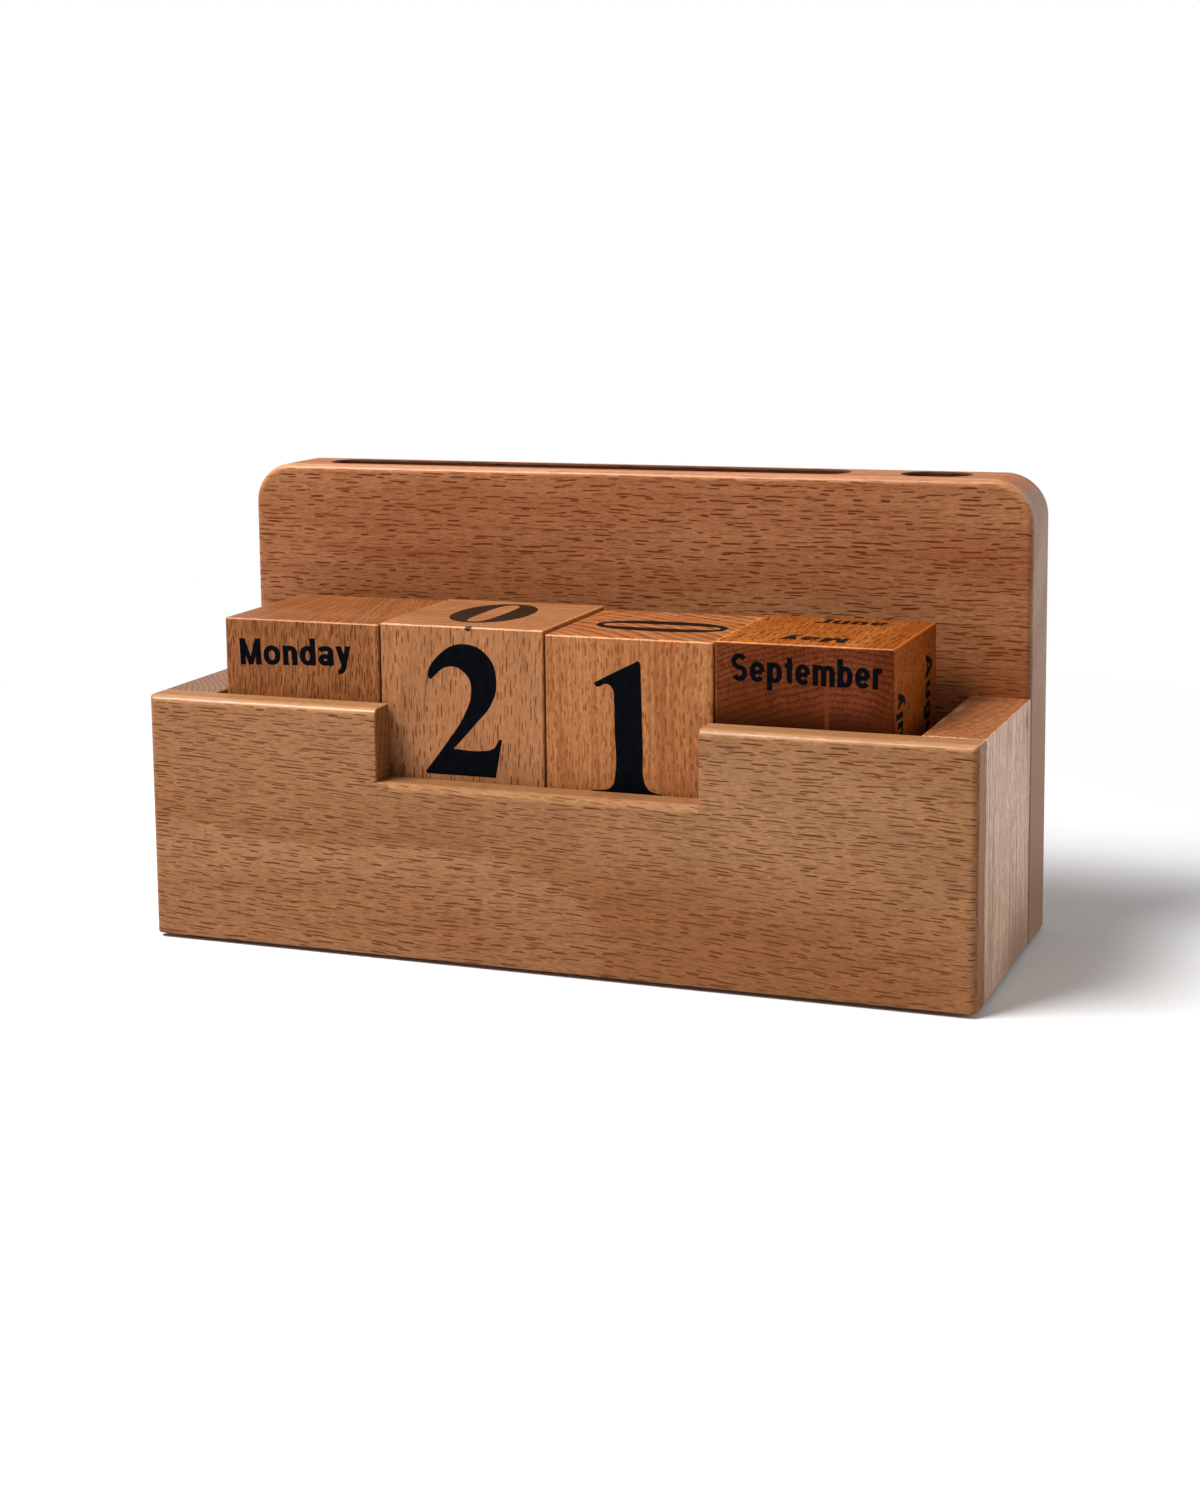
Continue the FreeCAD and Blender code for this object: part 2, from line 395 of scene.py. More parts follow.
@contextmanager
def editing(mesh):
    bm = bmesh.new()
    bm.from_mesh(mesh)
    yield bm
    bm.to_mesh(mesh)
    bm.free()


def joinRings(bm, rings, capped=True):
    # walls from ring to ring, and an end on the first and the last
    for one, other in zip(rings, rings[1:]):
        for i in range(len(one)):
            j = (i + 1) % len(one)
            bm.faces.new((one[i], one[j], other[j], other[i]))
    if capped:
        bm.faces.new(rings[0])
        bm.faces.new(rings[-1])


def prism(name, outline, start, end, axis):
    # a closed block: outline is a list of two coordinates, carried from start to end along axis
    bm = bmesh.new()
    joinRings(bm, [[bm.verts.new(Vector((a, c, b) if axis == "y" else (a, b, c)) * mm) for a, b in outline]
                   for c in (start, end)])
    return objectFrom(name, bm)


def boxPiece(name, low, high):
    corners = [(low.x, low.y), (high.x, low.y), (high.x, high.y), (low.x, high.y)]
    return prism(name, corners, low.z, high.z, "z")


def arcPoints(middle, radius, start, end, steps):
    # start and end in degrees
    angles = [math.radians(start + (end - start) * i / steps) for i in range(steps + 1)]
    return [(middle[0] + radius * math.cos(a), middle[1] + radius * math.sin(a)) for a in angles]


def settle(obj):
    # the modifiers' result becomes the object's own plain mesh
    evaluated = obj.evaluated_get(bpy.context.evaluated_depsgraph_get())
    mesh = bpy.data.meshes.new_from_object(evaluated)
    obj.modifiers.clear()
    obj.data = mesh
    return obj


def cutAway(obj, cutters):
    for cutter in cutters:
        boolean = obj.modifiers.new("cut", "BOOLEAN")
        boolean.operation = "DIFFERENCE"
        boolean.solver = "EXACT"
        boolean.object = cutter
    settle(obj)
    for cutter in cutters:
        bpy.data.objects.remove(cutter)
    return obj


def markFaces(bm, faces, mark, value=1.0):
    # a number the materials read by its name
    layer = bm.faces.layers.float.get(mark) or bm.faces.layers.float.new(mark)
    for face in faces:
        face[layer] = value(face) if callable(value) else value


highlightValues = {
    "touch": 1.6,        # how soon a rounding that looks up gets the full painted highlight
    "level": 0.7,        # the least share by which a top looks up
    "reach": 12.0,       # how far below the top's height that goes
}


def worn(face):
    # how much a rounding looks up: the share of it that gets the painted highlight and the coat
    face.normal_update()
    return max(0.0, min(face.normal.z * highlightValues["touch"], 1.0))


def roundEdges(obj, chosen, width, steps):
    with editing(obj.data) as bm:
        markFaces(bm, [], "edge")
        edges = [e for e in bm.edges if chosen(e)]
        made = bmesh.ops.bevel(bm, geom=edges, offset=width * mm, segments=steps, profile=0.5, affect="EDGES",
                               clamp_overlap=False, miter_outer="ARC", miter_inner="SHARP")
        markFaces(bm, made["faces"], "edge", worn)


def soften(obj, width, steps=3, angle=35.0):
    # a worn-in round along every outer edge sharper than angle, with flat faces kept flat
    roundEdges(obj, lambda e: e.is_convex and e.calc_face_angle(0.0) > math.radians(angle), width, steps)
    return evenOut(obj)


def paintTopHighlight(obj, z, value):
    # painted highlight: the top at height z is paler too, less so where a round corner turns away
    level, lowest = highlightValues["level"], (z - highlightValues["reach"]) * mm
    with editing(obj.data) as bm:
        layer = bm.faces.layers.float["edge"]
        upper = [f for f in bm.faces
                 if not f[layer] and f.normal.z > level and f.calc_center_median().z > lowest]
        markFaces(bm, upper, "edge", lambda f: value * (f.normal.z - level) / (1 - level))


sharpFrom = 40.0     # degrees between two faces, past which their edge is drawn sharp


def evenOut(obj):
    obj.data.shade_smooth()
    obj.data.set_sharp_from_angle(angle=math.radians(sharpFrom))
    even = obj.modifiers.new("even", "WEIGHTED_NORMAL")
    even.keep_sharp = True
    return settle(obj)


near = 0.01      # places closer than this are the same


def between(chosen):
    # a test on an edge's two ends, in millimetres
    return lambda e: chosen(*(v.co / mm for v in e.verts))


def give(obj, material, body, slotName, *nodes):
    obj.data.materials.clear()
    obj.data.materials.append(material)
    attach(obj, body)
    if nodes:
        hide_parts(*nodes)
    return obj


def boxOf(node):
    low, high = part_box(node)
    return low / mm, high / mm


def roomFor(node, spare=0.02):
    # a cutter a hair larger than a board that is housed in another
    low, high = boxOf(node)
    grow = Vector((spare, spare, spare))
    return boxPiece("room", low - grow, high + grow)


def holesFor(node, spare=0.02, steps=48):
    # round cutters a hair wider than a pair of upright pins
    low, high = boxOf(node)
    r = (high.y - low.y) / 2
    rings = [arcPoints((x, low.y + r), r + spare, 0, 360, steps)[:-1] for x in (low.x + r, high.x - r)]
    return [prism("hole", ring, low.z - 1, high.z + 1, "z") for ring in rings]


# rear block

rearValues = {
    "cornerRadius": 10.0, "cornerSteps": 18, "faceRound": 1.7, "faceSteps": 7,
    "slotWidth": 11.0, "slotSetback": 5.2, "slotBreak": 0.5, "endSteps": 14,
    "cardSlot": (-82.3, 54.1, 32.0),     # left, right, depth
    "penSlot": (67.0, 83.4, 45.0),
    "paintedTopHighlight": 0.35,
}


def slotCutter(left, right, y, radius, top, depth, rim):
    # a round-ended slot; the upper rings flare for the softened rim
    def ring(grow, z):
        r = radius + grow
        flat = arcPoints((right - radius, y), r, -90, 90, rearValues["endSteps"])
        flat += arcPoints((left + radius, y), r, 90, 270, rearValues["endSteps"])
        return [(a, b, z) for a, b in flat]
    bm = bmesh.new()
    levels = [(0.0, top - depth), (0.0, top - rim), (rim * 0.3, top - rim * 0.3),
              (rim + 0.1, top + 0.1), (rim + 0.1, top + 2)]
    joinRings(bm, [[bm.verts.new(Vector(p) * mm) for p in ring(grow, z)] for grow, z in levels])
    # the slot's walls are marked for painted shade
    markFaces(bm, bm.faces, "routed")
    return objectFrom("slot", bm)


def makeRearBlock(v):
    low, high = boxOf("rear_block")
    r = v["cornerRadius"]
    outline = [(low.x, low.z), (high.x, low.z)]
    outline += arcPoints((high.x - r, high.z - r), r, 0, 90, v["cornerSteps"])
    outline += arcPoints((low.x + r, high.z - r), r, 90, 180, v["cornerSteps"])
    block = prism("rear_board", outline, low.y, high.y, "y")
    roundEdges(block, between(lambda a, b: abs(a.y - b.y) < near and max(a.z, b.z) > low.z + near),
               v["faceRound"], v["faceSteps"])
    slotY = low.y + v["slotSetback"] + v["slotWidth"] / 2
    cutters = [slotCutter(a, b, slotY, v["slotWidth"] / 2, high.z, depth, v["slotBreak"])
               for a, b, depth in (v["cardSlot"], v["penSlot"])]
    cutters += [roomFor("calendar_deck"), roomFor("bottom_panel")]
    cutAway(block, cutters)
    paintTopHighlight(block, high.z, v["paintedTopHighlight"])
    return evenOut(block)


# front board

frontValues = {
    "notchLeft": -40.1, "notchRight": 38.1, "lip": 42.2, "round": 1.8, "roundSteps": 8,
    "roundStart": 3.2, "runIn": 2.4,     # where the lip's rounding is full, and how far before that it starts
    "runInSteps": 8,
    "edge": 0.4, "lipPaintedHighlight": 0.38, "paintedTopHighlight": 0.42,
}


def lipCutter(v, face):
    # what the lip's rounding takes off; its left end curves out the way a cutter leaves the wood
    radius, top = v["round"], v["lip"]
    start, end = v["notchLeft"] + v["roundStart"], v["notchRight"] - near
    bm = bmesh.new()
    rings = []
    for i in range(v["roundSteps"] + 2):
        angle = min(90 * i / v["roundSteps"], 90)
        z = top - radius + radius * math.sin(math.radians(angle)) + (1.0 if i > v["roundSteps"] else 0)
        depth = max(radius * (1 - math.cos(math.radians(angle))), 0.004)
        stretch = v["runIn"] / radius
        curve = [(start - depth * stretch * math.sin(t), face + depth * math.cos(t))
                 for t in (math.radians(90 * k / v["runInSteps"]) for k in range(v["runInSteps"] + 1))]
        ring = [(end, face - 1), (end, face + depth)] + curve + [(start - depth * stretch, face - 1)]
        rings.append([bm.verts.new(Vector((x, y, z)) * mm) for x, y in ring])
    joinRings(bm, rings)
    # painted highlight: the lip's rounding gets a share of the paler edge colour, and is rougher
    markFaces(bm, bm.faces, "edge", v["lipPaintedHighlight"])
    return objectFrom("lip", bm)


def makeFrontBoard(v):
    low, high = boxOf("drawer_front")
    notchLeft, notchRight, lip = v["notchLeft"], v["notchRight"], v["lip"]
    board = prism("front_board", [
        (low.x, low.z), (high.x, low.z), (high.x, high.z), (notchRight, high.z), (notchRight, lip),
        (notchLeft, lip), (notchLeft, high.z), (low.x, high.z)], low.y, high.y, "y")

    def outerFront(a, b):
        # the front face's top edges and its two ends
        isEnd = abs(abs(a.x) - high.x) < near and abs(a.x - b.x) < near
        return max(a.y, b.y) < low.y + near and (min(a.z, b.z) > high.z - near or isEnd)

    roundEdges(board, between(outerFront), v["round"], v["roundSteps"])
    soften(board, v["edge"])
    cutAway(board, [lipCutter(v, low.y), roomFor("drawer_bottom")])
    paintTopHighlight(board, high.z, v["paintedTopHighlight"])
    return evenOut(board)


# end blocks, deck, drawer box

boardValues = {
    "side_block_left": 0.45, "side_block_right": 0.45, "calendar_deck": 0.25, "bottom_panel": 0.25,
    "drawer_side_left": 0.5, "drawer_side_right": 0.5, "drawer_back": 0.5, "drawer_bottom": 0.2,
}
housedIn = {
    "side_block_left": ("calendar_deck", "bottom_panel"),
    "side_block_right": ("calendar_deck", "bottom_panel"),
    "drawer_side_left": ("drawer_bottom",), "drawer_side_right": ("drawer_bottom",),
    "drawer_back": ("drawer_bottom",),
}


def makeBoard(node, pieceName):
    low, high = boxOf(node)
    board = soften(boxPiece(pieceName, low, high), boardValues[node])
    rooms = [roomFor(n) for n in housedIn.get(node, ())]
    if node == "calendar_deck":
        rooms += holesFor("stop_pins")
    return evenOut(cutAway(board, rooms)) if rooms else board


# cubes

cubeValues = {"edge": 0.45, "steps": 4}


def makeCube(node, pieceName):
    low, high = boxOf(node)
    return soften(boxPiece(pieceName, low, high), cubeValues["edge"], cubeValues["steps"])


# build the wood

woods = {
    "rear_block": {
        "along": (1, 0, 0), "outward": (0, -1, 0.25), "pith": 110, "taper": 0.02, "seed": 1,
        "grainWander": 2.5,
        "pale": (0.338, 0.136, 0.056), "deep": (0.260, 0.081, 0.026), "ray": (0.112, 0.021, 0.0008),
        # its end colour is paler and greyer than end grain: a painted sheen on the end faces
        "end": (0.93, 1.50, 2.62), "sheen": 0.12, "endLate": 0.0, "edgeCoat": 0.5, "paintedEdgeHighlight": 0.7,
        # painted shade: the last patch darkens the lower right, where the month cube shades the board
        "patches": ((-35, -16, 50, 22, 0.5), (45, -8, 50, 24, -0.5), (92, 24, 44, 30, 1.2))},
    "drawer_front": {
        "along": (1, 0, -0.045), "outward": (0, -1, -0.1), "pith": 60, "taper": 0.07, "seed": 2,
        "end": (0.82, 0.68, 0.50), "endLate": 0.4, "edgeCoat": 0.5, "paintedEdgeHighlight": 0.55,
        "swirl": {"middle": (-60, 31), "half": (85, 28), "share": 0.7, "tones": [
            (0.0, 0.75), (0.5, 0.85), (0.74, 0.25), (0.93, 0.1), (0.99, 0.9), (1.15, 0.65), (1.45, 0.3),
            (1.9, 0.25), (2.6, 0.5)]},
        # painted shade: the first patch is darker towards the lower right, where the light falls off
        "patches": ((55, 28, 70, 26, 0.8), (62, -16, 45, 16, -0.25)),
        "marks": (((-74.4, -38.85, 30.4), (1.1, 4.0, 0.8), (0.19, 0.064, 0.019), 0.7),)},
    "side_block_left": {
        "along": (0, 0, 1), "outward": (1, 0.9, 0), "pith": 70, "seed": 3, "sheen": 0.3, "paintedEdgeHighlight": 0.2,
        "pale": (0.34, 0.145, 0.058), "deep": (0.27, 0.100, 0.036), "rayTone": 0.4, "edgeCoat": 0.0,
        "endLate": 0.6, "ringGap": 1.3, "end": (0.72, 0.62, 0.49)},
    "side_block_right": {
        "along": (0, 0, 1), "outward": (1, -0.15, 0), "seed": 4, "sheen": 0.25, "paintedEdgeHighlight": 0.45,
        # its pale and deep are paler and greyer than the left block's: a painted sheen on its outer side
        "pale": (0.73, 0.485, 0.345), "deep": (0.31, 0.162, 0.094), "rayTone": 0.4, "streak": 0.85,
        "figure": 0.15,
        "streakGap": 0.42, "streakLength": 80.0, "edgeCoat": 0.0, "end": (0.60, 0.32, 0.145), "endLate": 0.2,
        "fibre": 0.9,
        "marks": (((86.2, -14, 59.5), (0.6, 4.5, 0.6), (0.44, 0.27, 0.15), 0.8),
                  ((87.0, 2, 59.5), (0.7, 4, 0.6), (0.46, 0.30, 0.17), 0.8),
                  ((89.0, 15, 59.5), (4, 3, 1), (0.17, 0.062, 0.022), 0.9),
                  ((100, 14.3, 55.5), (3, 1.3, 2.4), (0.10, 0.045, 0.020), 0.6),
                  ((100, 8, 3), (3, 17, 8), (0.29, 0.165, 0.10), 0.9))},
    "calendar_deck": {"outward": (0, 0, 1), "seed": 5},
    "bottom_panel": {"outward": (0, 0, -1), "seed": 6},
    "drawer_side_left": {"along": (0, 1, 0), "outward": (-1, 0, 0), "seed": 7},
    "drawer_side_right": {"along": (0, 1, 0), "outward": (1, 0, 0), "seed": 8},
    "drawer_back": {"outward": (0, 1, 0), "seed": 9},
    "drawer_bottom": {"outward": (0, 0, 1), "pith": 60, "seed": 10},
    "weekday_cube": {
        "along": (0.04, 0, 1), "outward": (0.1, -1, 0), "seed": 11, "sheen": 0.12,
        "pale": (0.38, 0.155, 0.053), "deep": (0.245, 0.085, 0.026), "ray": (0.095, 0.023, 0.002),
        "streak": 0.6, "streakGap": 0.7, "fibre": 0.75, "end": (0.90, 0.72, 0.49), "endRayTone": 0.4,
        "rayRow": 0.52, "rayPitch": 4.4, "rayLength": 4.4, "rayWidth": 0.31},
    "tens_cube": {
        "along": (0.03, 0, 1), "outward": (0, -1, 0), "seed": 12, "sheen": 0.12,
        "pale": (0.37, 0.158, 0.064), "deep": (0.28, 0.104, 0.036), "ray": (0.15, 0.042, 0.010),
        "end": (1.20, 1.14, 1.05), "endRayTone": 0.4, "rayWidth": 0.30, "rayLength": 4.2, "rayPitch": 5.4,
        "rayRow": 0.74, "endLate": 0.5, "ringGap": 2.2, "endRing": 0.3,
        "marks": (((-20.0, -30.25, 78.2), (0.85, 1.6, 0.95), (0.002, 0.002, 0.0025), 0.12),)},
    "units_cube": {
        "along": (0, 0, 1), "outward": (0.7, 1, 0), "pith": 110, "seed": 13, "sheen": 0.12,
        "pale": (0.42, 0.175, 0.062), "deep": (0.30, 0.095, 0.026), "ray": (0.20, 0.044, 0.006),
        "rayWidth": 0.55, "rayLength": 2.8, "rayRow": 0.85, "rayPitch": 3.6, "quarterRay": 0.9,
        "rayTone": 0.7, "end": (1.12, 0.86, 0.60), "endRay": (0.62, 0.30, 0.14), "endRing": 0.6,
        "endLate": 0.6, "ringTone": 0.14, "ringGap": 3.4, "streak": 0.6, "figure": 0.4},
    "month_cube": {
        "along": (0, 1, 0), "outward": (-0.1, 0, 1), "pith": 60, "seed": 14, "sheen": 0.01,
        "pale": (0.47, 0.148, 0.031), "deep": (0.29, 0.070, 0.010), "ray": (0.13, 0.028, 0.004),
        "end": (0.345, 0.265, 0.44), "endRay": (0.22, 0.095, 0.05), "endRing": 0.12, "endRayTone": 0.05,
        "endLate": 0.36, "ringGap": 1.25, "ringWander": 14.0, "ringRipple": 0.9, "fibre": 0.9,
        # painted shade: the patch darkens the cube's right side, and the first mark is a dark band low on its
        # front, where the lip shades it; the second mark is a ray
        "patches": ((-10, 21.5, 60, 6, 0.8),),
        "marks": (((57, -30.25, 58), (32, 3, 4.5), (0.038, 0.009, 0.0025), 0.85),
                  ((64.8, -30.25, 66), (0.45, 3, 9), (0.140, 0.037, 0.012), 1.0))},
}
slotOf = {
    "rear_block": "beech_rear", "drawer_front": "beech_front", "side_block_left": "beech_end",
    "side_block_right": "beech_end", "weekday_cube": "weekday_wood", "tens_cube": "tens_wood",
    "units_cube": "units_wood", "month_cube": "month_wood",
}
bodyOf = {"weekday_cube": "weekday", "tens_cube": "tens", "units_cube": "units", "month_cube": "month"}


def bodyFor(node):
    if node in bodyOf:
        return bodyOf[node]
    return "drawer" if node.startswith("drawer") else "case"


for node, changes in woods.items():
    pieceName = node + "_wood"
    if node == "rear_block":
        piece = makeRearBlock(rearValues)
    elif node == "drawer_front":
        piece = makeFrontBoard(frontValues)
    elif node.endswith("_cube"):
        piece = makeCube(node, pieceName)
    else:
        piece = makeBoard(node, pieceName)
    piece.name = pieceName
    low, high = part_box(node)
    material = makeBeech(node + "_beech", low, high, **changes)
    give(piece, material, bodyFor(node), slotOf.get(node, "beech_inner"), node)
    print("wood", node, len(piece.data.polygons))


# printed numbers and words

inkValues = {
    "film": 0.035, "sunk": 0.03,                # how far the print stands above the wood and reaches into it
    "colour": (0.0014, 0.0018, 0.0026), "cloudy": 1.9,
    "bare": (0.12, 0.085, 0.06),                # the wood in the pinholes
    "pinholes": (0.735, 0.775),
    "wornAndLitBrown": (0.055, 0.024, 0.011),             # what a top's print turns to, partly worn and partly a painted sheen of the light, and how far on each cube
    "wornAndLitTop": {"tens_cube": 0.5}, "wornAndLitTopElse": 0.15,
    "rough": 0.5, "sheen": 0.015,
}


def pieceMillimetres(g):
    return g.node("ShaderNodeMapping", None, {"Vector": g.coordinate("Object"), "Scale": (1 / mm,) * 3})


def makeInk(name, v, wornAndLitTop):
    # a thin screen-printed film, with pinholes where the wood's grain shows
    g = newGraph(name)
    place = pieceMillimetres(g)
    worn = g.noise(place, 3.0, 0.7, scale=1.9)
    cloud = g.noise(place, scale=0.5)
    cloudy = colour(*(c * v["cloudy"] for c in v["colour"]))
    shade = g.mix(g.ease(cloud, 0.3, 0.75), colour(*v["colour"]), cloudy)
    upward = g.split(g.coordinate("Normal"))[2]
    # partly wear, partly a painted sheen: the print on faces that look up is browner
    shade = g.mix(g.ease(upward, 0.5, 1.0) * wornAndLitTop, shade, colour(*v["wornAndLitBrown"]))
    shade = g.mix(g.ease(worn, *v["pinholes"]) * 0.8, shade, colour(*v["bare"]))
    rough = v["rough"] + (cloud - 0.5) * 0.15
    return g.finishSkin(shade, rough, v["sheen"], worn, 0.25, 0.03)


# Number outlines, 31 high, x from the number's middle and y from its foot.
# A point marked "c" is a corner; the curve finds its own way through the others.
numberOutlines = {
    1: [[(-8.3, 0, "c"), (-8.3, 0.9, "c"), (-6.2, 1.0), (-3.7, 1.9), (-2.8, 4.6), (-2.8, 15), (-2.9, 21.7),
         (-3.2, 24.3), (-4.5, 25.5), (-7.1, 24.8), (-7.7, 25.6, "c"), (-3.4, 27.9, "c"), (1.8, 30.5, "c"),
         (3.0, 31.0), (3.5, 30.2, "c"), (3.7, 19.7, "c"), (3.9, 9.7), (4.1, 3.8), (5.3, 1.7),
         (8.5, 0.8, "c"), (8.5, 0, "c")]],
    2: [[(-9.7, 0.4, "c"), (-9.3, 0, "c"), (8.0, 0, "c"), (9.7, 9.0, "c"), (8.9, 9.0, "c"), (7.6, 6.9),
         (4.6, 6.1), (-2.5, 6.2, "c"), (3.0, 12.2), (7.3, 17.5), (8.5, 22.6), (6.4, 28.4), (0.4, 30.9),
         (-5.4, 28.5), (-8.7, 22.9), (-8.0, 22.3, "c"), (-3.4, 25.5), (0.9, 23.9), (2.2, 20.2),
         (0.6, 14.8), (-4.0, 7.8)]],
    3: [[(-8.2, 23.6, "c"), (-6.3, 27.8), (0.2, 30.9), (6.0, 28.6), (7.0, 23.6), (3.4, 17.9), (7.3, 15.0),
         (8.6, 9.6), (5.4, 2.5), (-2.2, 0), (-7.6, 1.5), (-7.9, 5.0), (-4.9, 5.2), (-0.6, 3.4), (2.5, 8.8),
         (0.4, 14.6), (-4.4, 16.2, "c"), (-4.4, 16.9, "c"), (0.0, 19.6), (1.2, 24.4), (-1.6, 28.0),
         (-7.3, 23.2, "c")]],
    4: [[(6.2, 30.9, "c"), (6.2, 11.2, "c"), (9.4, 11.2, "c"), (9.4, 7.2, "c"), (6.2, 7.2, "c"),
         (6.2, 0, "c"), (0.4, 0, "c"), (0.4, 7.2, "c"), (-9.4, 7.2, "c"), (-9.4, 10.2, "c"),
         (3.2, 30.9, "c")],
        [(0.4, 11.2, "c"), (-6.9, 11.2, "c"), (0.4, 23.6, "c")]],
    5: [[(-4.8, 30.6, "c"), (7.0, 30.6, "c"), (5.0, 25.6, "c"), (-3.4, 25.6, "c"), (-4.4, 20.6, "c"),
         (2.4, 19.5), (7.4, 15.6), (8.5, 9.8), (5.6, 2.8), (-1.6, 0), (-7.6, 1.4), (-7.9, 4.9),
         (-4.9, 5.2), (-0.4, 3.4), (2.4, 8.2), (0.2, 14.4), (-7.4, 16.3, "c")]],
    6: [[(7.6, 30.8, "c"), (0.2, 28.4), (-6.5, 21.6), (-8.9, 12.2), (-6.4, 2.9), (0, 0), (6.5, 2.8),
         (8.9, 9.8), (6.6, 16.4), (1.4, 19.0), (-2.2, 18.2, "c"), (0.8, 25.4), (7.7, 30.0, "c")],
        [(-2.9, 9.0), (-1.6, 15.4), (1.0, 17.2), (2.9, 9.0), (1.8, 2.4), (0.2, 1.3), (-1.9, 3.0)]],
    7: [[(-8.4, 30.9, "c"), (9.2, 30.9, "c"), (9.2, 29.6, "c"), (1.4, 0, "c"), (-3.4, 0, "c"),
         (4.4, 25.6, "c"), (-4.4, 25.6), (-7.2, 24.4), (-8.4, 22.0, "c"), (-9.2, 22.0, "c")]],
    8: [[(0, 30.9), (5.6, 29.2), (7.6, 24.2), (3.8, 17.6), (7.3, 14.2), (8.7, 8.2), (6.0, 2.1), (0, 0),
         (-6.2, 2.1), (-8.7, 7.8), (-6.8, 13.0), (-3.4, 15.8), (-6.6, 19.4), (-7.4, 24.6), (-5.4, 29.2)],
        [(0.1, 29.2), (-2.4, 27.4), (-2.2, 22.6), (1.6, 18.8), (3.0, 23.4), (2.2, 28.0)],
        [(-1.2, 14.2), (-3.6, 8.4), (-2.4, 2.9), (0.2, 1.6), (3.2, 4.0), (3.2, 9.4)]],
}
zeroValues = {
    # half width, height and how square it is, for the outline and for its hole
    0: ((9.3, 29.6, 2.15), (2.8, 26.6, 3.0)),
    "0 narrow": ((7.3, 31.4, 2.3), (2.7, 28.2, 3.2)),
}
numberHeight = 31.0
bendStep = 15.0      # degrees


def bend(middleX, middleY, halfX, halfY, start, end, power=2.3):
    # part of an oval, from one angle to another, that is squarer the further power passes 2
    steps = max(int(abs(end - start) / bendStep), 2)
    points = []
    for i in range(steps + 1):
        angle = math.radians(start + (end - start) * i / steps)
        c, s = math.cos(angle), math.sin(angle)
        size = (abs(c) ** power + abs(s) ** power) ** (-1 / power)
        points.append((middleX + halfX * c * size, middleY + halfY * s * size))
    return points


for key, ovals in zeroValues.items():
    numberOutlines[key] = [bend(0, numberHeight / 2, half, tall / 2, 0, 360, power)[:-1]
                           for half, tall, power in ovals]


def filmFrom(curve, name):
    # a flat filled curve becomes a closed film lying in x and y, its underside at minus sunk
    film, sunk = inkValues["film"], inkValues["sunk"]
    curve.extrude = (film + sunk) / 2
    flat = addObject(name, curve)
    made = bpy.data.meshes.new_from_object(flat.evaluated_get(bpy.context.evaluated_depsgraph_get()))
    bpy.data.objects.remove(flat)
    with editing(made) as bm:
        bmesh.ops.remove_doubles(bm, verts=bm.verts, dist=0.0005)
        bmesh.ops.recalc_face_normals(bm, faces=bm.faces)
        bmesh.ops.translate(bm, verts=bm.verts, vec=(0, 0, (film - sunk) / 2))
    return made


def numberFilm(number):
    curve = bpy.data.curves.new("number", "CURVE")
    curve.dimensions = "2D"
    curve.fill_mode = "BOTH"
    curve.resolution_u = 8
    for outline in numberOutlines[number]:
        spline = curve.splines.new("BEZIER")
        spline.bezier_points.add(len(outline) - 1)
        spline.use_cyclic_u = True
        for point, (x, y, *corner) in zip(spline.bezier_points, outline):
            point.co = (x, y - numberHeight / 2, 0)
            point.handle_left_type = point.handle_right_type = "VECTOR" if corner else "AUTO"
    return filmFrom(curve, "number")


# A plain upright alphabet, capitals 1 high: each letter has a width and its strokes.
letterValues = {"smallTop": 0.74, "tail": -0.28, "gap": 0.105}


